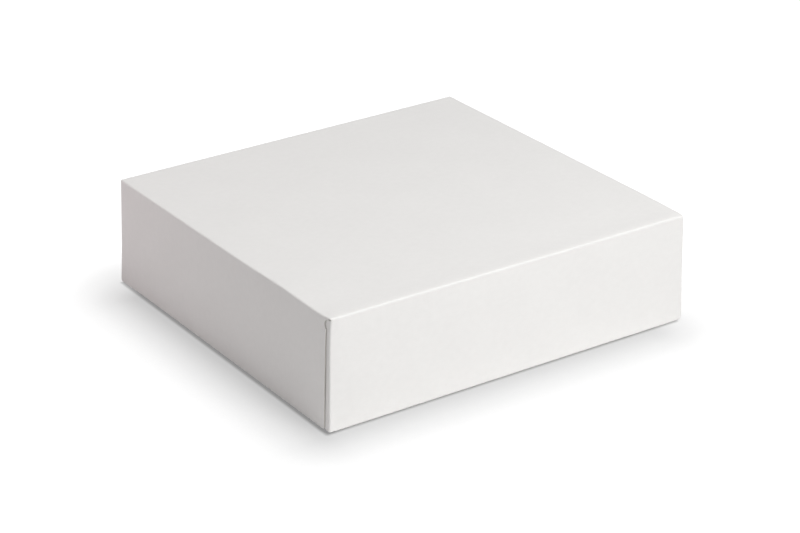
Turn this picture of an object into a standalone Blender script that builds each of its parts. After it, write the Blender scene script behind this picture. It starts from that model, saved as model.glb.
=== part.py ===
"""A square cake box folded from one sheet of white coated paperboard.

The sheet makes a tray with glued corners and a lid that hinges on the tray's back wall.
The lid's front flap and two side flaps hang outside the tray. The front flap's ears turn
the front corners and tuck in between the side flaps and the tray.

The origin is the middle of the underside. +X runs along the front from left to right,
+Y points to the hinge at the back, and +Z is up. Lengths are in metres.
"""

import math

import bmesh
import bpy

# The board and its folds
BOARD = 0.0006  # thickness
GAP = 0.0003  # clearance between two boards that touch
FOLD_INSIDE_RADIUS = 0.0004
FOLD_STEPS = 3  # facets across half of a fold

# The space for the cake
INSIDE_WIDTH = 0.2286
INSIDE_DEPTH = 0.2286
INSIDE_HEIGHT = 0.0635

# The tray's glue tabs
TAB_LENGTH = 0.032
TAB_TAPER = 0.006  # drop of the tab's upper and lower edge towards its free end
TAB_LIFT = 0.0006  # clearance over the bottom panel

# The lid
LID_SLACK = 0.0012  # from the tray's rim to the lid's underside
FLOOR_CLEARANCE = 0.0014  # from the flaps' lower edge to what the box stands on
LEFT_LEAN = math.radians(2.5)  # how far the left side of the lid stands out
RIGHT_LEAN = math.radians(0.4)

# The side flaps' ends
FRONT_SETBACK = 0.0034  # from the front corner back to the flap's cut edge, at its top
FRONT_TAPER = math.radians(1.0)
NOTCH_RADIUS = 0.00265
NOTCH_REACH = 0.0016  # of the notch, past the cut edge
NOTCH_LAND = 0.00045  # from the fold's round down to the top of the notch's circle
NOTCH_STEPS = 16
REAR_SETBACK = 0.0010  # from the hinge forward to the top of the rear edge
REAR_FLARE = 0.0010  # how far the lower rear corner reaches past the hinge
REAR_LAND = 0.0002  # from the fold's round down to the top of the rear edge
FLAP_CORNER_RADIUS = 0.0015

# The front flap's ears
EAR_END_CUT = 0.0195  # taken off the free end of the ear's quarter round
EAR_CLEARANCE = 0.0007  # from the lid's underside down to the ear's upper edge
EAR_TAPER = 0.0030  # further drop of the upper edge towards the free end
EAR_CORNER_RADIUS = 0.009
CORNER_STEPS = 6
SWING_STEPS = 12

# The board's colours, linear
COATED_WHITE = (0.78, 0.77, 0.75, 1.0)
BARE_INSIDE = (0.70, 0.68, 0.635, 1.0)
CUT_EDGE = (0.66, 0.64, 0.60, 1.0)

# Where the panels lie, from the dimensions above
tray_x = INSIDE_WIDTH / 2 + BOARD
tab_y = INSIDE_DEPTH / 2 + BOARD
tray_y = tab_y + GAP + BOARD
tray_top = BOARD + INSIDE_HEIGHT
lid_z = tray_top + LID_SLACK + BOARD
ear_x = tray_x + GAP + BOARD
lid_x = ear_x + GAP + BOARD
lid_front = tray_y + GAP + BOARD
lid_depth = lid_front + tray_y
corner_cut = lid_x - ear_x  # chamfer of the lid's corners
skirt = lid_z - FLOOR_CLEARANCE
ear_length = skirt - EAR_END_CUT
fold_radius = FOLD_INSIDE_RADIUS + BOARD

FRONT, RIGHT, BACK, LEFT = 0.0, math.pi / 2, math.pi, -math.pi / 2


def clear_scene():
    for old in list(bpy.data.objects):
        bpy.data.objects.remove(old, do_unlink=True)


def material(name, colour, roughness):
    made = bpy.data.materials.new(name)
    made.use_nodes = True
    shader = made.node_tree.nodes["Principled BSDF"]
    shader.inputs["Base Color"].default_value = colour
    shader.inputs["Roughness"].default_value = roughness
    shader.inputs["Metallic"].default_value = 0.0
    made.diffuse_color = colour
    return made


def arc(centre, radius, start, end, steps):
    """Points of a circular arc in a panel's plane, its two ends included."""
    angles = [start + (end - start) * step / steps for step in range(steps + 1)]
    return [(centre[0] + radius * math.cos(a), centre[1] + radius * math.sin(a)) for a in angles]


def fold_layers():
    """(depth below the outer face, inset from the corner line) down the edge of a folded panel.

    The outside follows half of the fold's round, and the rest is a mitre. The mitre stops
    half a clearance before the plane at 45 degrees, where the next panel's mitre faces it.
    """
    last = math.acos(GAP / (2 * fold_radius)) - math.pi / 4
    layers = []
    for step in range(FOLD_STEPS + 1):
        turn = last * step / FOLD_STEPS
        layers.append((fold_radius * (1 - math.cos(turn)), fold_radius * (1 - math.sin(turn))))
    layers.append((BOARD, BOARD + GAP / math.sqrt(2)))
    return layers


def inset_outline(points, insets):
    """Moves each edge of an anticlockwise outline inwards by its own inset."""
    lines = []
    for (ax, ay), (bx, by), inset in zip(points, points[1:] + points[:1], insets):
        length = math.hypot(bx - ax, by - ay)
        along = ((bx - ax) / length, (by - ay) / length)
        lines.append(((ax - along[1] * inset, ay + along[0] * inset), along))
    moved = []
    for (before, u), (after, v) in zip(lines[-1:] + lines[:-1], lines):
        turn = u[0] * v[1] - u[1] * v[0]
        if abs(turn) < 1e-6:
            moved.append(after)
            continue
        reach = ((after[0] - before[0]) * v[1] - (after[1] - before[1]) * v[0]) / turn
        moved.append((before[0] + u[0] * reach, before[1] + u[1] * reach))
    return moved


def panel(name, outline, folded):
    """One panel of the sheet: its outer face at local z = 0, its inner face a board below.

    outline lists the corners anticlockwise as seen from outside. folded holds the numbers
    of the edges that are creases, an edge's number being that of the corner it starts from.
    """
    body = bmesh.new()
    rings = []
    for depth, inset in fold_layers():
        insets = [inset if edge in folded else 0.0 for edge in range(len(outline))]
        corners = inset_outline(outline, insets)
        rings.append([body.verts.new((x, y, -depth)) for x, y in corners])
    body.faces.new(rings[0])
    inner = body.faces.new(list(reversed(rings[-1])))
    inner.material_index = 1
    for upper, lower in zip(rings, rings[1:]):
        for edge in range(len(outline)):
            after = (edge + 1) % len(outline)
            side = body.faces.new((upper[edge], lower[edge], lower[after], upper[after]))
            rounded = edge in folded and lower is not rings[-1]
            side.material_index = 0 if rounded else 2
    mesh = bpy.data.meshes.new(name)
    body.to_mesh(mesh)
    body.free()
    mesh.materials.append(material(name + "_white", COATED_WHITE, 0.42))
    mesh.materials.append(bare_inside)
    mesh.materials.append(cut_edge)
    mesh.shade_smooth()
    mesh.set_sharp_from_angle(angle=math.radians(25))
    made = bpy.data.objects.new(name, mesh)
    bpy.context.scene.collection.objects.link(made)
    return made


def stand(made, place, heading, lean=0.0):
    """Stands a panel up with its outer face turned to the heading and its foot leaning out."""
    made.location = place
    made.rotation_euler = (math.pi / 2 - lean, 0.0, heading)


def carry(parent, *children):
    """Parents the children where they stand."""
    bpy.context.view_layer.update()
    for child in children:
        child.parent = parent
        child.matrix_parent_inverse = parent.matrix_world.inverted()


def mirrored(outline, folded):
    """The same panel for the other hand, still anticlockwise."""
    last = len(outline) - 1
    flipped = [(-x, y) for x, y in reversed(outline)]
    return flipped, {(last - 1 - edge) % len(outline) for edge in folded}


def rectangle(left, bottom, right, top):
    """Corners anticlockwise from the lower left, so its edges are bottom, right, top, left."""
    return [(left, bottom), (right, bottom), (right, top), (left, top)]


def make_bottom_panel():
    """The tray's floor, creased on all four sides."""
    made = panel("bottom_panel", rectangle(-tray_x, -tray_y, tray_x, tray_y), {0, 1, 2, 3})
    made.rotation_euler = (math.pi, 0.0, 0.0)
    return made


def make_tray_walls():
    """Front, back and two sides. The back wall is taller, because it ends in the lid's crease."""
    front = panel("front_wall", rectangle(-tray_x, 0.0, tray_x, tray_top), {0})
    stand(front, (0.0, -tray_y, 0.0), FRONT)
    back = panel("back_wall", rectangle(-tray_x, 0.0, tray_x, lid_z), {0, 2})
    stand(back, (0.0, tray_y, 0.0), BACK)
    walls = [front, back]
    for name, heading, x in (("left_wall", LEFT, -tray_x), ("right_wall", RIGHT, tray_x)):
        wall = panel(name, rectangle(-tab_y, 0.0, tab_y, tray_top), {0, 1, 3})
        stand(wall, (x, 0.0, 0.0), heading)
        walls.append(wall)
    return walls


def make_glue_tabs():
    """Four tabs creased from the side walls and glued inside the front and back walls."""
    foot = BOARD + TAB_LIFT
    outline = [
        (0.0, foot),
        (TAB_LENGTH, foot + TAB_TAPER),
        (TAB_LENGTH, tray_top - TAB_TAPER),
        (0.0, tray_top),
    ]
    tabs = []
    for end, heading, y in (("front", FRONT, -tab_y), ("rear", BACK, tab_y)):
        for hand, x in (("left", -tray_x), ("right", tray_x)):
            # Seen from outside, the crease is on the tab's left at front left and rear right.
            on_left = (end == "front") == (hand == "left")
            shape, folded = (outline, {3}) if on_left else mirrored(outline, {3})
            tab = panel(end + "_" + hand + "_tab", shape, folded)
            stand(tab, (x, y, 0.0), heading)
            tabs.append(tab)
    return tabs


def make_lid_top():
    """The lid's top, with its origin on the hinge crease along the back."""
    outline = [
        (-ear_x, -lid_depth),
        (ear_x, -lid_depth),
        (lid_x, corner_cut - lid_depth),
        (lid_x, -corner_cut),
        (tray_x, 0.0),
        (-tray_x, 0.0),
        (-lid_x, -corner_cut),
        (-lid_x, corner_cut - lid_depth),
    ]
    made = panel("lid_top", outline, set(range(len(outline))))
    made.location = (0.0, tray_y, lid_z)
    return made


def make_front_flap():
    """The front flap, creased to the lid and to its two ears, with its origin on the lid's crease."""
    left_foot = -ear_x - skirt * math.tan(LEFT_LEAN)
    right_foot = ear_x + skirt * math.tan(RIGHT_LEAN)
    outline = [(left_foot, -skirt), (right_foot, -skirt), (ear_x, 0.0), (-ear_x, 0.0)]
    made = panel("front_flap", outline, {1, 2, 3})
    stand(made, (0.0, -lid_front, lid_z), FRONT)
    return made


def ear_outline(lean):
    """A right ear: its crease at x = 0, its lower corner round.

    The round is struck from the lid's crease at the depth of the front flap, so that the
    ear swings clear of what the box stands on.
    """
    down = -math.pi / 2
    swing = arc((0.0, 0.0), skirt, down, down + math.asin(ear_length / skirt), SWING_STEPS)
    top = -BOARD - EAR_CLEARANCE
    centre = (ear_length - EAR_CORNER_RADIUS, top - EAR_TAPER - EAR_CORNER_RADIUS)
    corner = arc(centre, EAR_CORNER_RADIUS, 0.0, math.pi / 2, CORNER_STEPS)
    points = swing + corner + [(0.0, top)]
    outline = [(x, y / math.cos(lean)) for x, y in points]
    return outline, {len(outline) - 1}


def make_ears():
    """The ears turn the lid's front corners and lie between the side flaps and the tray."""
    right = panel("right_ear", *ear_outline(RIGHT_LEAN))
    stand(right, (ear_x, -lid_front, lid_z), RIGHT, RIGHT_LEAN)
    left = panel("left_ear", *mirrored(*ear_outline(LEFT_LEAN)))
    stand(left, (-ear_x, -lid_front, lid_z), LEFT, LEFT_LEAN)
    return left, right


def side_flap_outline():
    """A right side flap, the lid's front corner at x = 0, with a notch under its crease.

    A slanted cut goes down from the front end of the crease and touches a circle. The notch
    follows the circle from there to where it meets the straight cut edge.
    """
    centre = (FRONT_SETBACK + NOTCH_REACH - NOTCH_RADIUS, -fold_radius - NOTCH_LAND - NOTCH_RADIUS)
    run, drop = centre[0] - corner_cut, -centre[1]
    slant = math.atan2(drop, run) - math.asin(NOTCH_RADIUS / math.hypot(run, drop))
    slope = math.tan(FRONT_TAPER)
    behind = FRONT_SETBACK + slope * drop - centre[0]
    a, b, c = 1 + slope**2, 2 * slope * behind, behind**2 - NOTCH_RADIUS**2
    below = (-b + math.sqrt(b * b - 4 * a * c)) / (2 * a)
    meets = math.atan2(-below, behind + slope * below)
    notch = arc(centre, NOTCH_RADIUS, math.pi / 2 - slant, meets, NOTCH_STEPS)

    front_foot = FRONT_SETBACK + slope * skirt
    rear_foot = lid_depth + REAR_FLARE
    lift = FLAP_CORNER_RADIUS - skirt
    front_centre = (front_foot + FLAP_CORNER_RADIUS, lift)
    rear_centre = (rear_foot - FLAP_CORNER_RADIUS, lift)
    outline = arc(front_centre, FLAP_CORNER_RADIUS, math.pi, 1.5 * math.pi, CORNER_STEPS)
    outline += arc(rear_centre, FLAP_CORNER_RADIUS, -0.5 * math.pi, 0.0, CORNER_STEPS)
    outline.append((lid_depth - REAR_SETBACK, -fold_radius - REAR_LAND))
    crease = len(outline)
    outline += [(lid_depth - corner_cut, 0.0), (corner_cut, 0.0)]
    return outline + notch, {crease}


def make_side_flaps():
    """The side flaps, with their origins on their creases at the lid's front corners."""
    right = panel("right_flap", *side_flap_outline())
    stand(right, (lid_x, -lid_front, lid_z), RIGHT, RIGHT_LEAN)
    left = panel("left_flap", *mirrored(*side_flap_outline()))
    stand(left, (-lid_x, -lid_front, lid_z), LEFT, LEFT_LEAN)
    return left, right


clear_scene()
bare_inside = material("bare_inside", BARE_INSIDE, 0.85)
cut_edge = material("cut_edge", CUT_EDGE, 0.9)

tray = make_bottom_panel()
carry(tray, *make_tray_walls(), *make_glue_tabs())
lid = make_lid_top()
front_flap = make_front_flap()
carry(front_flap, *make_ears())
carry(lid, front_flap, *make_side_flaps())
carry(tray, lid)
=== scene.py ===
import math

import bpy
import numpy as np
from mathutils import Matrix


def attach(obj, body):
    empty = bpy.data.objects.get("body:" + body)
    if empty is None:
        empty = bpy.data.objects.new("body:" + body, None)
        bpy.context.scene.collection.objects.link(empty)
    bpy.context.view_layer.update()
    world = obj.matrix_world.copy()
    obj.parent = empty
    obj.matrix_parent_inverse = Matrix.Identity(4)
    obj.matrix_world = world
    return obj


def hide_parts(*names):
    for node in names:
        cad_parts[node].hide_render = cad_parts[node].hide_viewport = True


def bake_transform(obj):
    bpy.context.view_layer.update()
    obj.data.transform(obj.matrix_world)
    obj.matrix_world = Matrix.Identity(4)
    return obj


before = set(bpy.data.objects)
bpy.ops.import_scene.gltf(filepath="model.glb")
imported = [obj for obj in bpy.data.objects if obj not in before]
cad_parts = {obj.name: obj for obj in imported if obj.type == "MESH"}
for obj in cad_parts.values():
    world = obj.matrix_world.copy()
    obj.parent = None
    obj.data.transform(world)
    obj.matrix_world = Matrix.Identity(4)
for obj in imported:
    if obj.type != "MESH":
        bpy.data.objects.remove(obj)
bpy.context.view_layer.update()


# The tray's floor. The box is folded from one sheet of solid paperboard, 0.6 mm thick and coated
# white on its outer side. A die creases and cuts the sheet flat, and the floor is the panel in
# the middle of the tray, with a crease on each of its four sides.

BOARD = 0.0006
FOLD_RADIUS = 0.0010  # outside of a fold
INSET = 0.0013  # from a fold's corner line to where the flat of a panel starts
HALF_WIDTH = 0.1149  # of the tray, over its side walls
HALF_DEPTH = 0.1158  # of the tray, over its front and back walls
LID_HEIGHT = 0.0659
BLANK_FLOOR = 2 * HALF_DEPTH + LID_HEIGHT  # from the lid's middle to the floor's, on the blank


def unit(vectors):
    """The vectors, each divided by its length."""
    return vectors / np.linalg.norm(vectors, axis=-1, keepdims=True)


class Lay:
    """How a panel lies: its origin and its directions right and up, seen from outside.

    The blank's three pairs say where the same origin and directions fall on the flat sheet,
    so that the board's texture runs on over every fold.
    """

    def __init__(self, origin, right, up, blank_origin, blank_right, blank_up):
        self.origin = np.array(origin, float)
        self.right = np.array(right, float)
        self.up = np.array(up, float)
        self.outward = np.cross(self.right, self.up)
        self.blank_origin = np.array(blank_origin, float)
        self.blank_right = np.array(blank_right, float)
        self.blank_up = np.array(blank_up, float)

    def points(self, places):
        """origin + across * right + height * up, for an array of pairs of across and height."""
        return self.origin + places[..., :1] * self.right + places[..., 1:] * self.up

    def blank(self, places):
        """The same sum on the flat blank."""
        return (self.blank_origin + places[..., :1] * self.blank_right
                + places[..., 1:] * self.blank_up)


def board(name, face, normal, blank, finishes, cut=(), thickness=BOARD, fold=0.0):
    """A closed sheet of board from a grid of points on its outer side.

    Rows run up and columns run right, seen from outside. The inner side lies one thickness
    against the normal. Three rings of points go down the rim, and on a cut side they stand out
    a little, as a die leaves it. depth goes from 0 outside to 1 inside, and fold is 1 on a crease.
    """
    rows, columns = face.shape[:2]
    count = rows * columns
    right = unit(np.gradient(face, axis=1))
    up = unit(np.gradient(face, axis=0))
    inner = face - normal * np.broadcast_to(thickness, (rows, columns))[..., None]
    number = np.arange(count).reshape(rows, columns)
    rim = np.concatenate([number[0, :-1], number[:-1, -1], number[-1, :0:-1], number[:0:-1, 0]])
    stand = np.zeros_like(face)
    stand[0] -= up[0] * ("bottom" in cut)
    stand[-1] += up[-1] * ("top" in cut)
    stand[:, 0] -= right[:, 0] * ("left" in cut)
    stand[:, -1] += right[:, -1] * ("right" in cut)
    outer_flat, inner_flat, stand_flat = (a.reshape(-1, 3) for a in (face, inner, stand))
    levels = ((0.13, 0.00005), (0.55, 0.00006), (0.92, 0.00004))
    rings = [outer_flat[rim] * (1 - depth) + inner_flat[rim] * depth + stand_flat[rim] * out
             for depth, out in levels]
    points = np.concatenate([outer_flat, inner_flat, *rings])

    corners = np.stack([number[:-1, :-1], number[:-1, 1:], number[1:, 1:], number[1:, :-1]], -1)
    outer_faces = corners.reshape(-1, 4)
    inner_faces = outer_faces[:, ::-1] + count
    bands = [rim]
    bands += [2 * count + ring * len(rim) + np.arange(len(rim)) for ring in range(3)]
    bands += [rim + count]
    rim_faces = np.concatenate([
        np.stack([above, below, np.roll(below, -1), np.roll(above, -1)], -1)
        for above, below in zip(bands, bands[1:])
    ])
    faces = np.concatenate([outer_faces, inner_faces, rim_faces])

    mesh = bpy.data.meshes.new(name)
    mesh.from_pydata(points, [], faces)
    sides = np.repeat([0, 1, 2], [len(outer_faces), len(inner_faces), len(rim_faces)])
    mesh.polygons.foreach_set("material_index", sides.astype(np.int32))
    for finish in finishes:
        mesh.materials.append(finish)
    corner_points = np.empty(len(mesh.loops), np.int32)
    mesh.loops.foreach_get("vertex_index", corner_points)
    flat = blank.reshape(-1, 2)
    flat = np.concatenate([flat, flat, *[flat[rim]] * 3])
    mesh.uv_layers.new(name="blank").data.foreach_set("uv", flat[corner_points].ravel())
    depths = [np.zeros(count), np.ones(count)] + [np.full(len(rim), d) for d, out in levels]
    folded = np.broadcast_to(fold, (rows, columns)).ravel()
    folded = [folded, folded] + [folded[rim]] * 3
    for key, values in (("depth", depths), ("fold", folded)):
        made = mesh.attributes.new(key, "FLOAT", "POINT")
        made.data.foreach_set("value", np.concatenate(values).astype(np.float32))
    mesh.shade_smooth()
    mesh.set_sharp_from_angle(angle=math.radians(35))
    sheet = bpy.data.objects.new(name, mesh)
    bpy.context.scene.collection.objects.link(sheet)
    return sheet


def spread(count, crowd=0.8):
    """Shares from 0 to 1, set closer at both ends: t - crowd * sin(2 pi t) / (2 pi)."""
    t = np.linspace(0.0, 1.0, count)
    return t - crowd * np.sin(2 * math.pi * t) / (2 * math.pi)


def line(start, stop, count):
    """Points on a straight side, set closer at both ends."""
    start, stop = np.array(start, float), np.array(stop, float)
    return start + (stop - start) * spread(count)[:, None]


def rectangle(left, bottom, right, top, columns, rows):
    """The four straight sides of a panel, in the order that panel() takes them."""
    low_left, low_right = (left, bottom), (right, bottom)
    high_left, high_right = (left, top), (right, top)
    return (line(low_left, low_right, columns), line(high_left, high_right, columns),
            line(low_left, high_left, rows), line(low_right, high_right, rows))


def shares_along(side):
    """How far each point of a side is along it, from 0 to 1."""
    steps = np.linalg.norm(np.diff(side, axis=0), axis=1)
    return np.concatenate([[0.0], np.cumsum(steps)]) / steps.sum()


def panel(name, lay, sides, finishes, cut=(), bow=0.0, form=None):
    """The flat of a panel, filled in between its bottom, top, left and right sides.

    A point is bottom and top mixed by the share up, plus left and right mixed by the share
    across, less the four corners mixed by both. The middle stands out by bow times the sines
    of both shares.
    """
    bottom, top, left, right = sides
    s = shares_along(bottom)[None, :, None]
    t = shares_along(left)[:, None, None]
    places = ((1 - t) * bottom[None] + t * top[None] + (1 - s) * left[:, None] + s * right[:, None]
              - (1 - t) * ((1 - s) * bottom[0] + s * bottom[-1])
              - t * ((1 - s) * top[0] + s * top[-1]))
    face = lay.points(places) + bow * np.sin(math.pi * s) * np.sin(math.pi * t) * lay.outward
    if form:
        face = form(face)
    return board(name, face, lay.outward, lay.blank(places), finishes, cut)


class Value:
    """A value in a material. Sums, differences and products of it add Math nodes."""

    def __init__(self, tree, socket=None):
        self.tree = tree
        self.socket = socket

    def node(self, kind, settings=(), inputs=(), output=0):
        """Adds a node: its settings are set first, then its sockets get values or links."""
        made = self.tree.nodes.new(kind)
        for key, value in dict(settings).items():
            if key == "stops":
                ramp = made.color_ramp.elements
                ramp[0].position, ramp[0].color = value[0]
                ramp[1].position, ramp[1].color = value[-1]
                for position, colour in value[1:-1]:
                    ramp.new(position).color = colour
            else:
                setattr(made, key, value)
        for key, value in dict(inputs).items():
            if isinstance(value, Value):
                self.tree.links.new(value.socket, made.inputs[key])
            else:
                made.inputs[key].default_value = value
        return Value(self.tree, made.outputs[output] if made.outputs else None)

    def output(self, name):
        """Another output of the same node."""
        return Value(self.tree, self.socket.node.outputs[name])

    def maths(self, operation, first, second):
        return self.node("ShaderNodeMath", {"operation": operation}, {0: first, 1: second})

    def __add__(self, other):
        return self.maths("ADD", self, other)

    def __radd__(self, other):
        return self.maths("ADD", other, self)

    def __sub__(self, other):
        return self.maths("SUBTRACT", self, other)

    def __rsub__(self, other):
        return self.maths("SUBTRACT", other, self)

    def __mul__(self, other):
        return self.maths("MULTIPLY", self, other)

    def __rmul__(self, other):
        return self.maths("MULTIPLY", other, self)

    def tint(self, dark, light):
        """Goes from one colour to the other as the value goes from 0 to 1."""
        return self.node("ShaderNodeMix", {"data_type": "RGBA"},
                         {0: self, 6: (*dark, 1.0), 7: (*light, 1.0)}, output=2)

    def ramp(self, low, high, kind="LINEAR"):
        """Goes evenly from 0 at low to 1 at high."""
        return self.node("ShaderNodeMapRange", {"interpolation_type": kind},
                         {0: self, 1: low, 2: high, 3: 0.0, 4: 1.0})

    def step(self, low, high):
        """Goes smoothly from 0 at low to 1 at high."""
        return self.ramp(low, high, "SMOOTHSTEP")

    def noise(self, scale, detail=2.0, roughness=0.5):
        """Smooth random values at this place, about 1 / scale metres across."""
        return self.node("ShaderNodeTexNoise", {"noise_dimensions": "3D"},
                         {"Vector": self, "Scale": scale, "Detail": detail, "Roughness": roughness})

    def vector(self, operation, other=(0.0, 0.0, 0.0)):
        """Vector maths with another vector."""
        return self.node("ShaderNodeVectorMath", {"operation": operation}, {0: self, 1: other})

    def stretched(self, x, y):
        """The place with its two directions multiplied."""
        return self.vector("MULTIPLY", (x, y, 1.0))


def finish(name, roughness, specular):
    """A new material, its shader, and the place on the blank."""
    made = bpy.data.materials.new(name)
    made.use_nodes = True
    shader = made.node_tree.nodes["Principled BSDF"]
    shader.inputs["Roughness"].default_value = roughness
    shader.inputs["Specular IOR Level"].default_value = specular
    return made, shader, Value(made.node_tree).node("ShaderNodeUVMap", {"uv_map": "blank"})


def feed(shader, key, value):
    """Links a value to one of the shader's sockets."""
    value.tree.links.new(value.socket, shader.inputs[key])


def relief(shader, height, distance):
    """Turns a height from 0 to 1 into bumps of that many metres."""
    inputs = {"Distance": distance, "Height": height}
    feed(shader, "Normal", height.node("ShaderNodeBump", {}, inputs))


def coated_white(name):
    """Clay coating: near white, satin, faintly mottled, with the board's fibres showing through.

    Where the board is folded the coating is crazed, a little duller and a little darker.
    """
    made, shader, place = finish(name, 0.45, 0.4)
    mottle = place.noise(260.0, 3.0)
    cloud = place.noise(28.0, 2.0)
    grain = place.stretched(1.0, 7.0).noise(240.0, 3.0, 0.6)
    pores = place.noise(2600.0, 2.0, 0.6)
    fold = place.node("ShaderNodeAttribute", {"attribute_name": "fold"}, {}, output=2)
    craze = fold * place.noise(5200.0, 3.0, 0.7)
    tone = 0.42 * mottle + 0.33 * cloud + 0.25 * grain - 0.12 * craze
    feed(shader, "Base Color", tone.tint((0.752, 0.741, 0.727), (0.848, 0.838, 0.823)))
    feed(shader, "Roughness", 0.37 + 0.10 * mottle + 0.06 * pores + 0.08 * craze)
    relief(shader, 0.5 * mottle + 0.3 * grain + 0.2 * pores + 0.35 * craze, 0.000030)
    return made


def bare_inside(name):
    """The uncoated side: bleached fibres, creamier and duller, with a few darker specks."""
    made, shader, place = finish(name, 0.9, 0.3)
    fibres = place.stretched(1.0, 5.0).noise(420.0, 4.0, 0.65)
    cross = place.stretched(4.0, 1.0).noise(500.0, 3.0, 0.6)
    cloud = place.noise(45.0, 3.0)
    speck = place.noise(1100.0, 1.0).step(0.72, 0.80)
    tone = 0.45 * fibres + 0.25 * cross + 0.3 * cloud - 0.30 * speck
    feed(shader, "Base Color", tone.tint((0.60, 0.58, 0.535), (0.80, 0.78, 0.735)))
    feed(shader, "Roughness", 0.80 + 0.15 * fibres)
    relief(shader, 0.6 * fibres + 0.4 * cross, 0.000060)
    return made


def cut_edge(name):
    """The board's section: a thin coating over a core of bleached fibres, rough from the die."""
    made, shader, place = finish(name, 0.95, 0.2)
    depth = place.node("ShaderNodeAttribute", {"attribute_name": "depth"}, {}, output=2)
    fibres = place.noise(1700.0, 3.0, 0.7)
    layer = depth + 0.10 * fibres
    stops = [(0.09, (0.80, 0.79, 0.77, 1.0)), (0.17, (0.68, 0.66, 0.62, 1.0)),
             (0.85, (0.65, 0.63, 0.59, 1.0)), (0.97, (0.70, 0.68, 0.64, 1.0))]
    feed(shader, "Base Color", layer.node("ShaderNodeValToRGB", {"stops": stops}, {"Fac": layer}))
    relief(shader, fibres, 0.000080)
    return made


tray_board = (coated_white("tray_white"), bare_inside("tray_inside"), cut_edge("tray_cut_edge"))
floor_lay = Lay((0, 0, 0), (-1, 0, 0), (0, 1, 0), (0, BLANK_FLOOR), (-1, 0), (0, -1))
floor_x, floor_y = HALF_WIDTH - INSET, HALF_DEPTH - INSET
floor_panel = panel("tray_floor", floor_lay,
                    rectangle(-floor_x, -floor_y, floor_x, floor_y, 65, 65), tray_board)
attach(floor_panel, "tray")
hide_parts("bottom_panel")


# The tray's four walls, folded up from the floor. Each crease is pressed from the white side, so
# the board turns in a small round there and bulges a little on the inside. The back wall goes on
# up to the lid's crease, and the other three end in a cut rim, 1.2 mm under the lid.

TRAY_TOP = 0.0641
TAB_PLANE = 0.1149  # outer side of the glue tabs, from the middle
ARC_STEPS = 12
BEAD = 0.00012  # how much thicker the board is inside a crease
BEND = 0.0003, 0.0007  # in from a crease's corner line, to the points that its strip bends between


def square(own, far):
    """The end of a crease that is cut straight across."""
    return 0.0 * own


def ripple(along, phase):
    """The slow unevenness of a crease: three sines of unlike lengths, at most 1 high."""
    waves = ((0.0041, 0.2), (0.0097, 0.3), (0.0230, 0.5))
    return sum(part * np.sin(2 * math.pi * along / length + phase * (k + 1.7))
               for k, (length, part) in enumerate(waves))


def stations(length):
    """Distances along a crease: every 0.125 mm in its last 4 mm and every 1.5 mm between."""
    fine = np.linspace(0.0, 0.004, 33)
    middle = np.linspace(0.004, length - 0.004, int((length - 0.008) / 0.0015) + 2)
    return np.concatenate([fine[:-1], middle, length - fine[-2::-1]])


def crease(name, lay, start, stop, other, finishes, first=square, last=square,
           wavy=0.00003, phase=0.0, reach=INSET, form=None):
    """The strip of board that turns from one panel's plane into the other's.

    The corner line of the fold goes from start to stop, places on lay, whose panel is on the
    left of it. The profile is a short flat on the other panel, an arc of FOLD_RADIUS, and a
    short flat on lay. Each end is moved in along the line by first or last, which are functions
    of how far in a point is on its own panel and on the other. The strip goes reach far on the
    other panel.
    Returns the strip and the two points between which it bends.
    """
    start, stop = np.array(start, float), np.array(stop, float)
    length = np.linalg.norm(stop - start)
    course = (stop - start) / length
    direction = course[0] * lay.right + course[1] * lay.up
    into = np.cross(lay.outward, direction)
    into_other = np.cross(direction, other.outward)
    inward = unit(into_other - (into_other @ into) * into)
    turn = math.pi - math.acos(into @ into_other)
    tangent = FOLD_RADIUS * math.tan(turn / 2)
    angles = np.linspace(turn, 0.0, ARC_STEPS + 1)
    arc = np.stack([tangent - FOLD_RADIUS * np.sin(angles), FOLD_RADIUS * (1 - np.cos(angles))], -1)
    far_way = np.array([-math.cos(turn), math.sin(turn)])
    profile = np.concatenate([[far_way * reach], arc, [[INSET, 0.0]]])
    run = shares_along(profile)[:, None]

    own, far = np.maximum(profile[:, :1], 0.0), profile[:, 1:]
    shares = stations(length) / length
    begin, end = first(own, far), length - last(own, far)
    along = begin + (end - begin) * shares
    across = np.repeat(profile[:, None], len(shares), axis=1)
    window = np.sin(math.pi * run) ** 2
    corner = lay.points(start)
    face = (corner + along[..., None] * direction
            + across[..., :1] * into + across[..., 1:] * inward
            - (wavy * window * ripple(along, phase))[..., None] * unit(into + inward))
    if form:
        face = form(face)
    normal = unit(np.cross(np.gradient(face, axis=1), np.gradient(face, axis=0)))
    sideways = np.array([-course[1], course[0]])
    places = start + along[..., None] * course + ((2 * run - 1) * INSET)[..., None] * sideways
    strip = board(name, face, normal, lay.blank(places), finishes, ("left", "right"),
                  BOARD + BEAD * window, window)
    middle = corner + length / 2 * direction
    little, more = BEND
    return strip, (middle + more * into + little * into_other,
                   middle + little * into + more * into_other)


front_wall_lay = Lay((0, -HALF_DEPTH, 0), (1, 0, 0), (0, 0, 1),
                     (0, BLANK_FLOOR + HALF_DEPTH), (1, 0), (0, 1))
back_wall_lay = Lay((0, HALF_DEPTH, 0), (-1, 0, 0), (0, 0, 1),
                    (0, BLANK_FLOOR - HALF_DEPTH), (-1, 0), (0, -1))
left_wall_lay = Lay((-HALF_WIDTH, 0, 0), (0, -1, 0), (0, 0, 1),
                    (-HALF_WIDTH, BLANK_FLOOR), (0, 1), (-1, 0))
right_wall_lay = Lay((HALF_WIDTH, 0, 0), (0, 1, 0), (0, 0, 1),
                     (HALF_WIDTH, BLANK_FLOOR), (0, -1), (1, 0))

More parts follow.
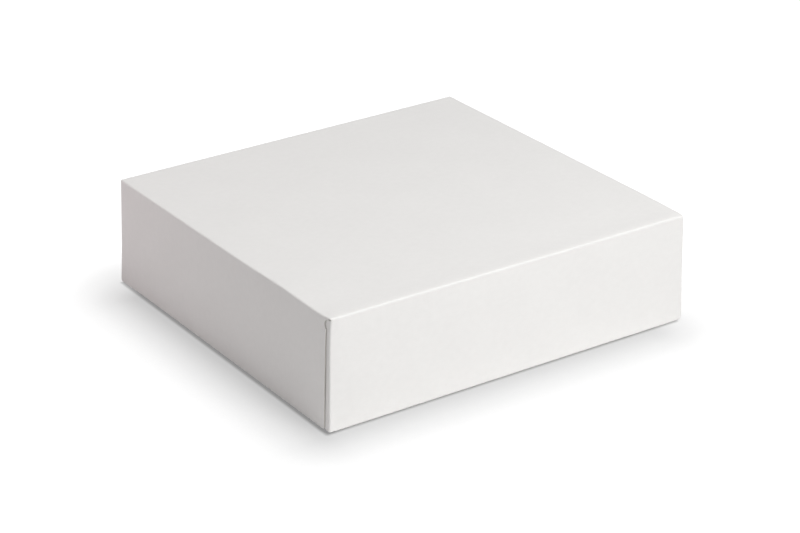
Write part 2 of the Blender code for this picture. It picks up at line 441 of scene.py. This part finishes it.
wide = (-HALF_WIDTH, INSET, HALF_WIDTH)
narrow = (INSET - TAB_PLANE, INSET, TAB_PLANE - INSET)
walls = (
    ("front_wall", "tray_front", front_wall_lay, wide, TRAY_TOP, ("left", "right", "top"), -0.0002),
    ("back_wall", "tray_back", back_wall_lay, wide, LID_HEIGHT - INSET, ("left", "right"), 0.0002),
    ("left_wall", "tray_left", left_wall_lay, narrow, TRAY_TOP, ("top",), -0.0003),
    ("right_wall", "tray_right", right_wall_lay, narrow, TRAY_TOP, ("top",), -0.0003),
)
for node, name, lay, (left, bottom, right), top, cut, bow in walls:
    wall = panel(name, lay, rectangle(left, bottom, right, top, 65, 25), tray_board, cut, bow)
    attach(wall, "tray")
    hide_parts(node)


def mitred(own, far):
    """The end of a floor crease at 45 degrees, where the next one meets it."""
    return own


def stepped(own, far):
    """As mitred, but the side walls are narrower, because their tabs go inside the front wall."""
    return own + np.interp(far, (0.0, FOLD_RADIUS), (0.0, HALF_DEPTH - TAB_PLANE))


for side, start, stop, lay, end in (
    ("front", (-HALF_WIDTH, -HALF_DEPTH), (HALF_WIDTH, -HALF_DEPTH), front_wall_lay, mitred),
    ("left", (HALF_WIDTH, -HALF_DEPTH), (HALF_WIDTH, HALF_DEPTH), left_wall_lay, stepped),
    ("back", (HALF_WIDTH, HALF_DEPTH), (-HALF_WIDTH, HALF_DEPTH), back_wall_lay, mitred),
    ("right", (-HALF_WIDTH, HALF_DEPTH), (-HALF_WIDTH, -HALF_DEPTH), right_wall_lay, stepped),
):
    fold, bend = crease("floor_crease_" + side, floor_lay, start, stop, lay, tray_board,
                        end, end, phase=len(side))
    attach(fold, "tray")


# Four glue tabs, creased from the ends of the side walls. They lie inside the front and back
# walls, which are glued to their white side, and their free ends are cut back at a slant.

TAB_LENGTH = 0.032
TAB_TAPER = 0.006
TAB_FOOT = 0.0012
CREASE_LIFT = 0.00005  # keeps a tab's crease off the floor's
GLUE = 0.0003
FILM_SHARE = 0.95  # of the glue's gap that the film fills
FILM_FROM_CREASE, FILM_FROM_END = 0.0035, 0.0030
FILM_FROM_FOOT, FILM_FROM_RIM = 0.0080, 0.0085


def adhesive(name):
    """Dried white glue: milky, smooth, with small bubbles."""
    made, shader, place = finish(name, 0.3, 0.5)
    bubbles = place.noise(900.0, 2.0)
    feed(shader, "Base Color", bubbles.tint((0.62, 0.60, 0.55), (0.80, 0.78, 0.72)))
    relief(shader, bubbles, 0.000050)
    return made


glue_white = adhesive("dried_glue")
for end, wall_lay, hand, x in (
    ("front", left_wall_lay, "left", -1), ("rear", left_wall_lay, "left", -1),
    ("front", right_wall_lay, "right", 1), ("rear", right_wall_lay, "right", 1),
):
    ahead = -1 if end == "front" else 1  # along y
    side = x * ahead  # 1 where the tab goes right from its crease, seen from outside
    edge = side * TAB_PLANE
    tab_lay = Lay((x * HALF_WIDTH, ahead * TAB_PLANE, 0), (-ahead, 0, 0), (0, 0, 1),
                  wall_lay.blank(np.array([edge, 0.0])), wall_lay.blank_right, wall_lay.blank_up)
    slope = TAB_TAPER / TAB_LENGTH
    crease_side = line((side * INSET, TAB_FOOT + slope * INSET),
                       (side * INSET, TRAY_TOP - slope * INSET), 33)
    free_side = line((side * TAB_LENGTH, TAB_FOOT + TAB_TAPER),
                     (side * TAB_LENGTH, TRAY_TOP - TAB_TAPER), 33)
    left, right = (crease_side, free_side) if side > 0 else (free_side, crease_side)
    sides = (line(left[0], right[0], 25), line(left[-1], right[-1], 25), left, right)
    name = end + "_" + hand + "_tab"
    tab = panel(name + "_board", tab_lay, sides, tray_board,
                ("bottom", "top", "right" if side > 0 else "left"))
    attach(tab, "tray")
    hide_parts(name)

    low, high = (edge, INSET + CREASE_LIFT), (edge, TRAY_TOP)
    start, stop = (low, high) if side > 0 else (high, low)
    fold, bend = crease("tab_crease_" + end + "_" + hand, wall_lay, start, stop, tab_lay,
                        tray_board, phase=side + x)
    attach(fold, "tray")

    inner, outer = sorted((side * FILM_FROM_CREASE, side * (TAB_LENGTH - FILM_FROM_END)))
    glue_lay = Lay(tab_lay.origin + GLUE * tab_lay.outward * FILM_SHARE, tab_lay.right,
                   tab_lay.up, tab_lay.blank_origin, tab_lay.blank_right, tab_lay.blank_up)
    film_sides = rectangle(inner, TAB_FOOT + FILM_FROM_FOOT,
                           outer, TRAY_TOP - FILM_FROM_RIM, 13, 17)
    film = panel(name + "_glue", glue_lay, film_sides, (glue_white, glue_white, glue_white))
    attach(film, "tray")


# The lid's top, one flat panel that hangs on the back wall by a crease. Handling has left it a
# little crowned, its near left crease slightly wavy and its right front corner pressed down.

LID_HALF = 0.1167  # over the side flaps, and from the middle to the front flap's outer side
CORNER_CUT = 0.0009  # from the lid's corners to where the front flap's side folds begin
LID_WAVY = 0.00005  # how far the lid's creases wander
CREST, CREST_REACH = 0.00012, 0.012  # of the left crease's waves, and how far in they fade
PULL, PULL_REACH = 0.00042, 0.020  # of the bell on the left crease
PULL_AT, PULL_WIDTH = -0.068, 0.024  # where along y that bell stands
SAG, SAG_REACH = 0.00044, 0.025  # of the front crease
LIFT, LIFT_REACH = 0.0006, 0.007  # of the left front corner
DENT, DENT_REACH = 0.0006, 0.0035  # of the right front corner
PROUD_FRONT, PROUD_BACK = 0.00040, 0.0002  # of the top, just inside its creases
PROUD_REACH = 0.003  # how far down from the top that fades

lid_board = (coated_white("lid_white"), bare_inside("lid_inside"), cut_edge("lid_cut_edge"))
lid_lay = Lay((0, 0, LID_HEIGHT), (1, 0, 0), (0, 1, 0), (0, 0), (1, 0), (0, 1))


def swell(away):
    """Rises from 0 at an edge to 1 at 4 mm, and falls again: u * exp(1 - u)."""
    u = np.maximum(away, 0.0) / 0.004
    return u * np.exp(1 - u)


def settle(points):
    """Moves the lid's pieces alike, so that they still meet.

    Just inside the front crease, and less so at the back, the top stands a little proud.
    The left crease is lifted and pushed in and out by sines of y that fade with the distance
    from it, and pulled up and in by a bell of y near the front. The front crease sinks and comes
    forward towards the right. Bells of the distance from them lift the left front corner, up,
    forward and in, and press the right front corner down and in.
    """
    x, y, z = points[..., 0], points[..., 1], points[..., 2]
    away = np.hypot(x + LID_HALF, z - LID_HEIGHT)
    wave = 0.6 * np.sin(2 * math.pi * y / 0.083 + 0.6) + 0.4 * np.sin(2 * math.pi * y / 0.031 + 2.0)
    ends = np.clip((LID_HALF - np.abs(y)) / 0.02, 0.0, 1.0)
    crest = CREST * wave * ends * np.exp(-((away / CREST_REACH) ** 2))
    pull = PULL * np.exp(-(((y - PULL_AT) / PULL_WIDTH) ** 2) - (away / PULL_REACH) ** 2)
    edge = np.hypot(y + LID_HALF, z - LID_HEIGHT)
    rightwards = np.clip(0.62 + x / 0.14, 0.0, 1.0)
    sag = SAG * rightwards**2 * (3 - 2 * rightwards) * np.exp(-((edge / SAG_REACH) ** 2))
    apart = (y + LID_HALF) ** 2 + (z - LID_HEIGHT) ** 2
    lift = LIFT * np.exp(-((x + LID_HALF) ** 2 + apart) / LIFT_REACH**2)
    dent = DENT * np.exp(-((x - LID_HALF) ** 2 + apart) / DENT_REACH**2)
    inwards = np.clip((LID_HALF - np.abs(x)) / 0.008, 0.0, 1.0)
    proud = PROUD_FRONT * swell(y + LID_HALF) + PROUD_BACK * swell(HALF_DEPTH - y)
    proud *= inwards**2 * (3 - 2 * inwards) * np.exp(-(((z - LID_HEIGHT) / PROUD_REACH) ** 2))
    shift = np.stack([-0.7 * crest + 0.8 * pull + 0.8 * lift - 0.3 * dent,
                      -0.6 * sag - 0.5 * lift + 0.3 * dent,
                      0.7 * crest + 0.9 * pull - sag + lift - 0.8 * dent + proud], -1)
    return points + shift


lid_flat = LID_HALF - INSET
lid_top = panel("lid_top_board", lid_lay,
                rectangle(-lid_flat, -lid_flat, lid_flat, HALF_DEPTH - INSET, 129, 129),
                lid_board, bow=0.0005, form=settle)
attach(lid_top, "lid")
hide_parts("lid_top")


def chamfered(own, far):
    """The end of the lid's hinge, a little wider on the lid than on the back wall."""
    return -np.minimum(2 * own, 0.0005)


hinge, bend = crease("lid_hinge_crease", lid_lay, (HALF_WIDTH, HALF_DEPTH),
                     (-HALF_WIDTH, HALF_DEPTH), back_wall_lay, lid_board,
                     chamfered, chamfered, wavy=LID_WAVY, phase=2.0, form=settle)
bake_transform(hinge)


# The lid's front flap, creased down from its front edge, and the two ears at its ends. The ears
# turn the corners and tuck in between the side flaps and the tray, which holds the lid shut.

EAR_PLANE = 0.1158
SKIRT = 0.0645  # depth of the flaps
LEANS = {"left": math.radians(2.5), "right": math.radians(0.4)}
EAR_LENGTH = 0.0450
EAR_TOP = 0.0013  # from the lid's outer side down to the ear
EAR_DROP = 0.0030  # further drop of its upper edge towards the free end
EAR_ROUND = 0.0090  # of its upper corner
EAR_STEP = 0.0001  # how much lower its crease starts than the flap
TURN_START = 0.0003  # depth at which a fold starts to count as turned down
MITRE_DEPTH = 0.0002  # depth to which the front crease keeps the lid's corner cut
SPRING = 0.0004  # how far the corner folds stand out beside the flaps' cut edges
SPRING_WIDTHS = (0.004, 0.009, 0.040, 0.060), (0.0065, 0.0042, 0.0042, 0.0060)  # by the depth


def below_crease(points):
    """0 in the lid's plane and 1 where its folds have turned down, in between by the height."""
    depth = LID_HEIGHT - points[..., 2]
    return np.clip((depth - TURN_START) / (FOLD_RADIUS - TURN_START), 0.0, 1.0)


def sprung(points):
    """As settle, and the two corner folds stand out, by a bell of the distance behind them."""
    x, y = points[..., 0], points[..., 1]
    share = np.clip((np.abs(x) - EAR_PLANE) / INSET + 1, 0.0, 1.0)
    behind = np.maximum(y + LID_HALF, 0.0)
    width = np.interp(LID_HEIGHT - points[..., 2], *SPRING_WIDTHS)
    out = SPRING * share**2 * (3 - 2 * share) * np.exp(-((behind / width) ** 2))
    out = out * below_crease(points)
    return settle(points + np.stack([np.sign(x) * out, 0 * x, 0 * x], -1))


def rounded(points):
    """As sprung, and below the lid's plane the front crease's two ends go round the corners.

    Past the start of the corner's round, u and v are the shares of the radius outwards and
    forwards. A square corner becomes a disc's: u * sqrt(1 - v * v / 2), v * sqrt(1 - u * u / 2).
    """
    x, y = points[..., 0], points[..., 1]
    u = np.clip((np.abs(x) - EAR_PLANE + FOLD_RADIUS) / FOLD_RADIUS, 0.0, 1.0)
    v = np.clip((-y - LID_HALF + FOLD_RADIUS) / FOLD_RADIUS, 0.0, 1.0)
    shift_x = -np.sign(x) * FOLD_RADIUS * (u - u * np.sqrt(1 - v * v / 2))
    shift_y = FOLD_RADIUS * (v - v * np.sqrt(1 - u * u / 2))
    shift = np.stack([shift_x, shift_y, 0 * x], -1)
    return sprung(points + below_crease(points)[..., None] * shift)


def cornered(own, far):
    """The end of the front crease: a mitre at the lid's corner, drawn in below to the side fold."""
    drawn = np.clip((far - MITRE_DEPTH) / (FOLD_RADIUS - MITRE_DEPTH), 0.0, 1.0)
    return own - CORNER_CUT * (1 - drawn)


front_lay = Lay((0, -LID_HALF, LID_HEIGHT), (1, 0, 0), (0, 0, 1), (0, -LID_HALF), (1, 0), (0, 1))
front_fold, bend = crease("front_crease", lid_lay, (-EAR_PLANE, -LID_HALF),
                          (EAR_PLANE, -LID_HALF), front_lay, lid_board,
                          cornered, cornered, wavy=LID_WAVY, phase=5.0, form=rounded)
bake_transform(front_fold)

slant = {hand: math.tan(lean) for hand, lean in LEANS.items()}
inset = {hand: INSET / math.cos(lean) for hand, lean in LEANS.items()}
top_left = (-EAR_PLANE - INSET * slant["left"] + inset["left"], -INSET)
top_right = (EAR_PLANE + INSET * slant["right"] - inset["right"], -INSET)
foot_left = (-EAR_PLANE - SKIRT * slant["left"] + inset["left"], -SKIRT)
foot_right = (EAR_PLANE + SKIRT * slant["right"] - inset["right"], -SKIRT)
front_flap = panel(
    "front_flap_board", front_lay,
    (line(foot_left, foot_right, 97), line(top_left, top_right, 97),
     line(foot_left, top_left, 33), line(foot_right, top_right, 33)),
    lid_board, ("bottom",), bow=0.0003, form=sprung)
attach(front_flap, "front_cover")
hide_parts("front_flap")


def ear_sides(lean, hand):
    """The ear's bottom, top, left and right sides.

    The bottom is an arc about the corner with the flap's depth as its radius. The free end is
    straight and its upper corner a quarter round, half of which belongs to the top.
    """
    reach = np.linspace(0.0, 1.0, 33)
    x = INSET + (EAR_LENGTH - INSET) * reach
    bottom = np.stack([x, -np.sqrt(SKIRT**2 - x**2)], -1)
    centre = np.array([EAR_LENGTH - EAR_ROUND, -EAR_TOP - EAR_DROP - EAR_ROUND])
    angles = np.linspace(math.pi / 2, math.pi / 4, 9)[:, None]
    upper = centre + EAR_ROUND * np.concatenate([np.cos(angles), np.sin(angles)], 1)
    slope = EAR_DROP / (EAR_LENGTH - EAR_ROUND)
    top = np.concatenate([line((INSET, -EAR_TOP - slope * INSET), upper[0], 25)[:-1], upper])
    angles = np.linspace(0.0, math.pi / 4, 9)[:, None]
    end = centre + EAR_ROUND * np.concatenate([np.cos(angles), np.sin(angles)], 1)
    free = np.concatenate([line(bottom[-1], end[0], 25)[:-1], end])
    crease_side = line(bottom[0], top[0], 33)
    sides = [side * [hand, 1 / math.cos(lean)] for side in (bottom, top, crease_side, free)]
    if hand < 0:
        sides = [sides[0][::-1], sides[1][::-1], sides[3], sides[2]]
    return sides


def under_lid(own, far):
    """The top end of an ear's crease: the ear starts a little lower than the flap."""
    return np.interp(far, (0.0, FOLD_RADIUS), (0.0, EAR_TOP - INSET + EAR_STEP))


def level_foot(own, far):
    """The lower end of the left ear's crease, which the flap's slanting side makes oblique."""
    return own * slant["left"]


for name, hand in (("left", -1), ("right", 1)):
    lean = LEANS[name]
    ear_lay = Lay((hand * EAR_PLANE, -LID_HALF, LID_HEIGHT), (0, hand, 0),
                  (-hand * math.sin(lean), 0, math.cos(lean)),
                  (hand * EAR_PLANE, -LID_HALF), (1, 0), (0, 1))
    free = "right" if hand > 0 else "left"
    ear = panel(name + "_ear_board", ear_lay, ear_sides(lean, hand), lid_board,
                ("bottom", "top", free), form=sprung)
    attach(ear, "front_cover")
    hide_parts(name + "_ear")
    high = (hand * (EAR_PLANE + INSET * slant[name]), -INSET)
    low = (hand * (EAR_PLANE + SKIRT * slant[name]), -SKIRT)
    ends = (high, low, under_lid, level_foot) if hand < 0 else (low, high, square, under_lid)
    fold, bend = crease(name + "_ear_crease", front_lay, ends[0], ends[1], ear_lay, lid_board,
                        ends[2], ends[3], wavy=0.00004, phase=hand, form=sprung)
    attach(fold, "front_cover")


# The two side flaps hang outside the ears and stand out at the foot, because only their own
# crease holds them. The die cuts them free from the lid's corner with a slanted cut and a round
# notch, which keeps the fold from tearing, and the cut edge below is set back from the corner.

FLAP_START = 0.00112  # depth at which the flap goes on from the strip of its crease
NOTCH_RADIUS = 0.00265
NOTCH_SETBACK = 0.00235  # from the lid's front corner back to the notch's centre
NOTCH_DEPTH = 0.0041  # from the lid's outer side down to it
NOTCH_DISTANCE = math.hypot(NOTCH_SETBACK, NOTCH_DEPTH)  # of its centre from the corner
CUT_ANGLE = math.atan2(NOTCH_DEPTH, NOTCH_SETBACK) - math.asin(NOTCH_RADIUS / NOTCH_DISTANCE)
EDGE_SETBACK = 0.0034  # of the front cut edge, at its top
EDGE_SLANT = math.tan(math.radians(1.0))
FOOT_ROUND = 0.0015
FLAP_LENGTH = 0.2315  # from the lid's front to the rear cut edge, at its top
FLARE = 0.0020  # how much further back that edge is at its foot
REAR_TOP = 0.0012  # depth at which it starts
CURL, CURL_ALONG, CURL_UP = 0.0006, 0.022, 0.016  # of the left flap's lower rear corner


def side_flap_edges():
    """The front and rear sides of a right flap, in places along it and up.

    The front side goes round the foot's corner, up the cut edge, along the notch's circle and up
    the slanted cut, which touches the circle. The rear side has the same heights.
    """
    turn = np.linspace(-math.pi / 2, -math.pi, 9)
    foot = np.stack([np.cos(turn), np.sin(turn)], -1) * FOOT_ROUND
    front_foot = EDGE_SETBACK + EDGE_SLANT * SKIRT
    foot += [front_foot + FOOT_ROUND, FOOT_ROUND - SKIRT]
    # Where the circle meets the cut edge, below its centre.
    behind = EDGE_SETBACK + EDGE_SLANT * NOTCH_DEPTH - NOTCH_SETBACK
    a, b, c = 1 + EDGE_SLANT**2, 2 * EDGE_SLANT * behind, behind**2 - NOTCH_RADIUS**2
    below = (-b + math.sqrt(b * b - 4 * a * c)) / (2 * a)
    meets = math.atan2(-below, behind + EDGE_SLANT * below)
    turn = np.linspace(meets, math.pi / 2 - CUT_ANGLE, 33)
    notch = np.stack([np.cos(turn), np.sin(turn)], -1) * NOTCH_RADIUS
    notch += [NOTCH_SETBACK, -NOTCH_DEPTH]
    top = (FLAP_START / math.tan(CUT_ANGLE), -FLAP_START)
    front = np.concatenate([foot, line(foot[-1], notch[0], 33)[1:-1], notch,
                            line(notch[-1], top, 9)[1:]])
    height = front[:, 1]
    lift = np.maximum(FOOT_ROUND - SKIRT - height, 0.0)
    rear_x = FLAP_LENGTH + FLARE * np.interp(-height, (REAR_TOP, SKIRT - FOOT_ROUND), (0.0, 1.0))
    rear_x -= FOOT_ROUND - np.sqrt(np.maximum(FOOT_ROUND**2 - lift**2, 0.0))
    return front, np.stack([rear_x, height], -1)


def curled(points):
    """As settle, and the left flap's lower rear corner bends outwards."""
    behind = points[..., 1] - HALF_DEPTH
    corner = np.exp(-((behind / CURL_ALONG) ** 2) - (points[..., 2] / CURL_UP) ** 2)
    left = points[..., 0] < 0
    return settle(points) - (CURL * corner * left)[..., None] * [1.0, 0.0, 0.0]


def at_corner(own, far):
    """The front end of a side crease: a mitre on the lid, then the slanted cut further down."""
    return own + far / math.tan(CUT_ANGLE) * np.clip(far / FLAP_START, 0.0, 1.0)


def at_hinge(own, far):
    """The rear end of a side crease: in by 0.08 of the depth, and out by half of own."""
    return 0.08 * far - 0.5 * own


for name, hand, cover in (("left", -1, "left_cover"), ("right", 1, "right_cover")):
    lean = LEANS[name]
    flap_lay = Lay((hand * LID_HALF, -LID_HALF, LID_HEIGHT), (0, hand, 0),
                   (-hand * math.sin(lean), 0, math.cos(lean)),
                   (hand * LID_HALF, -LID_HALF), (0, hand), (-hand, 0))
    front, rear = side_flap_edges()
    left, right = (front, rear) if hand > 0 else (rear * [-1, 1], front * [-1, 1])
    sides = (line(left[0], right[0], 129), line(left[-1], right[-1], 129), left, right)
    flap = panel(name + "_flap_board", flap_lay, sides, lid_board, ("bottom", "left", "right"),
                 bow=0.0004, form=curled)
    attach(flap, cover)
    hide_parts(name + "_flap")

    front_end = (hand * LID_HALF, -LID_HALF)
    rear_end = (hand * LID_HALF, HALF_DEPTH - CORNER_CUT)
    if hand > 0:
        ends = (front_end, rear_end, at_corner, at_hinge)
    else:
        ends = (rear_end, front_end, at_hinge, at_corner)
    fold, bend = crease(name + "_crease", lid_lay, ends[0], ends[1], flap_lay, lid_board,
                        ends[2], ends[3], wavy=LID_WAVY, phase=3.0 + hand, reach=FLAP_START,
                        form=settle)
    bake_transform(fold)


# The table: a white sweep that keeps the box's shadow. To the camera it also glows, weakly by the
# box and more and more away from it, so that the shadow fades into white: the weak glow by the box
# is a painted shadow, a halo darker than the lamps alone make. The glow halves along the foot, a
# painted dark line of contact shadow, where hardly any light gets in.

TABLE_REACH = 8.0
TABLE_HEIGHT = -0.00002  # under the tray's floor, so that the two don't coincide
GLOW_FROM = (-0.1195, 0.0925, -0.1155, 0.0900)  # left, right, front and back of where it starts
PAINTED_LINE_FROM = (-0.1195, 0.1130, -0.1155, 0.1165)  # the same for the dark line
FADE = 0.070  # distance at which the glow reaches full white
PAINTED_LINE_WIDTH = 0.0021  # width of the dark line along the foot
LIT_WHITE = (0.90, 0.90, 0.90, 1.0)  # of the table as the box is lit by it
SEEN_WHITE = (0.22, 0.22, 0.22, 1.0)  # of the table as the camera sees it, beside the glow

table_mesh = bpy.data.meshes.new("table")
corners = [(x * TABLE_REACH, y * TABLE_REACH, TABLE_HEIGHT)
           for x, y in ((-1, -1), (1, -1), (1, 1), (-1, 1))]
table_mesh.from_pydata(corners, [], [(0, 1, 2, 3)])
table = bpy.data.objects.new("table", table_mesh)
bpy.context.scene.collection.objects.link(table)
table_white = bpy.data.materials.new("table_white")
table_white.use_nodes = True
table_white.node_tree.nodes.clear()
table_nodes = Value(table_white.node_tree)
place = table_nodes.node("ShaderNodeTexCoord").output("Object")


def beyond(left, right, front, back):
    """The distance from a rectangle on the table, 0 inside it."""
    from_middle = place.vector("SUBTRACT", ((left + right) / 2, (front + back) / 2, 0.0))
    half = ((right - left) / 2, (back - front) / 2, 0.0)
    outside = from_middle.vector("ABSOLUTE").vector("SUBTRACT", half).vector("MAXIMUM")
    return outside.vector("LENGTH").output("Value")


# The glow's colour: dim by the box, which paints a shadow halo around it, and white further off.
away = beyond(*GLOW_FROM).ramp(0.0, FADE)
levels = ((0.0, 0.46), (0.07, 0.48), (0.25, 0.63), (0.45, 0.76), (0.65, 0.84), (1.0, 1.0))
stops = [(share, (level, level, level, 1.0)) for share, level in levels]
glow_with_painted_halo = away.node("ShaderNodeValToRGB", {"stops": stops}, {"Fac": away})
# Halving the glow within that width of the foot paints a dark line of contact shadow.
painted_contact_shadow = beyond(*PAINTED_LINE_FROM).ramp(0.0, PAINTED_LINE_WIDTH)
strength = 0.5 + 0.5 * painted_contact_shadow
glow = table_nodes.node("ShaderNodeEmission", {}, {"Color": glow_with_painted_halo, "Strength": strength})
white = table_nodes.node("ShaderNodeBsdfDiffuse", {}, {"Color": LIT_WHITE})
seen = table_nodes.node("ShaderNodeBsdfDiffuse", {}, {"Color": SEEN_WHITE})
bright = table_nodes.node("ShaderNodeAddShader", {}, {0: seen, 1: glow})
camera_ray = table_nodes.node("ShaderNodeLightPath")
mixed = table_nodes.node("ShaderNodeMixShader", {}, {0: camera_ray, 1: white, 2: bright})
table_nodes.node("ShaderNodeOutputMaterial", {}, {"Surface": mixed})
table_mesh.materials.append(table_white)


# The light: an even white surround and three large soft lamps, from the front, from above and,
# weak, from the left behind. A small, low, faintly rosy one stands beside the left flap.

AMBIENT = 0.20
AIM = (0.0, 0.0, 0.04)  # the point that the lamps face
world = bpy.data.worlds.new("surround")
bpy.context.scene.world = world
world.use_nodes = True
world.node_tree.nodes.clear()
surround = Value(world.node_tree)
path = surround.node("ShaderNodeLightPath")
shown = path.maths("MAXIMUM", path, path.output("Is Glossy Ray"))
strength = AMBIENT + (1 - AMBIENT) * shown
background = surround.node("ShaderNodeBackground", {},
                           {"Color": (1.0, 1.0, 1.0, 1.0), "Strength": strength})
surround.node("ShaderNodeOutputWorld", {}, {"Surface": background})


def lamp(name, place, size, power, colour=(1.0, 1.0, 1.0)):
    """A square lamp that faces the box."""
    made = bpy.data.objects.new(name, bpy.data.lights.new(name, "AREA"))
    made.data.shape = "SQUARE"
    made.data.size = size
    made.data.energy = power
    made.data.color = colour
    back = unit(np.array(place, float) - AIM)
    side = unit(np.cross([0.0, 0.0, 1.0], back))
    turn = np.eye(4)
    turn[:3, :3] = np.stack([side, np.cross(back, side), back], 1)
    turn[:3, 3] = place
    made.matrix_world = Matrix(turn.tolist())
    bpy.context.scene.collection.objects.link(made)


lamp("front", (0.30, -1.60, 1.30), 0.8, 18.8)
lamp("above", (0.30, -0.50, 1.20), 0.8, 8.1)
lamp("behind", (-0.60, 0.50, 0.60), 0.8, 1.4)
lamp("beside", (-0.35, 0.30, 0.12), 0.2, 0.125, (1.0, 0.68, 0.74))


# The camera, solved from nine edges of the photographed box. It looks at a point by the middle of
# the box, from far off through a long lens.

TARGET = (-0.00853, -0.01632, 0.030)
DISTANCE = 1.4006
AZIMUTH, ELEVATION, ROLL = (math.radians(a) for a in (-122.623, 24.550, -1.339))
backward = np.array([math.cos(ELEVATION) * math.cos(AZIMUTH),
                     math.cos(ELEVATION) * math.sin(AZIMUTH), math.sin(ELEVATION)])
sideways = unit(np.cross(-backward, [0.0, 0.0, 1.0]))
upward = np.cross(sideways, -backward)
pose = np.eye(4)
pose[:3, 0] = math.cos(ROLL) * sideways + math.sin(ROLL) * upward
pose[:3, 1] = -math.sin(ROLL) * sideways + math.cos(ROLL) * upward
pose[:3, 2] = backward
pose[:3, 3] = np.array(TARGET) + DISTANCE * backward
camera = bpy.data.objects.new("camera", bpy.data.cameras.new("camera"))
camera.data.lens = 110.43
camera.data.sensor_width = 36.0
camera.matrix_world = Matrix(pose.tolist())
bpy.context.scene.collection.objects.link(camera)
bpy.context.scene.camera = camera
bpy.context.scene.view_settings.view_transform = "Standard"
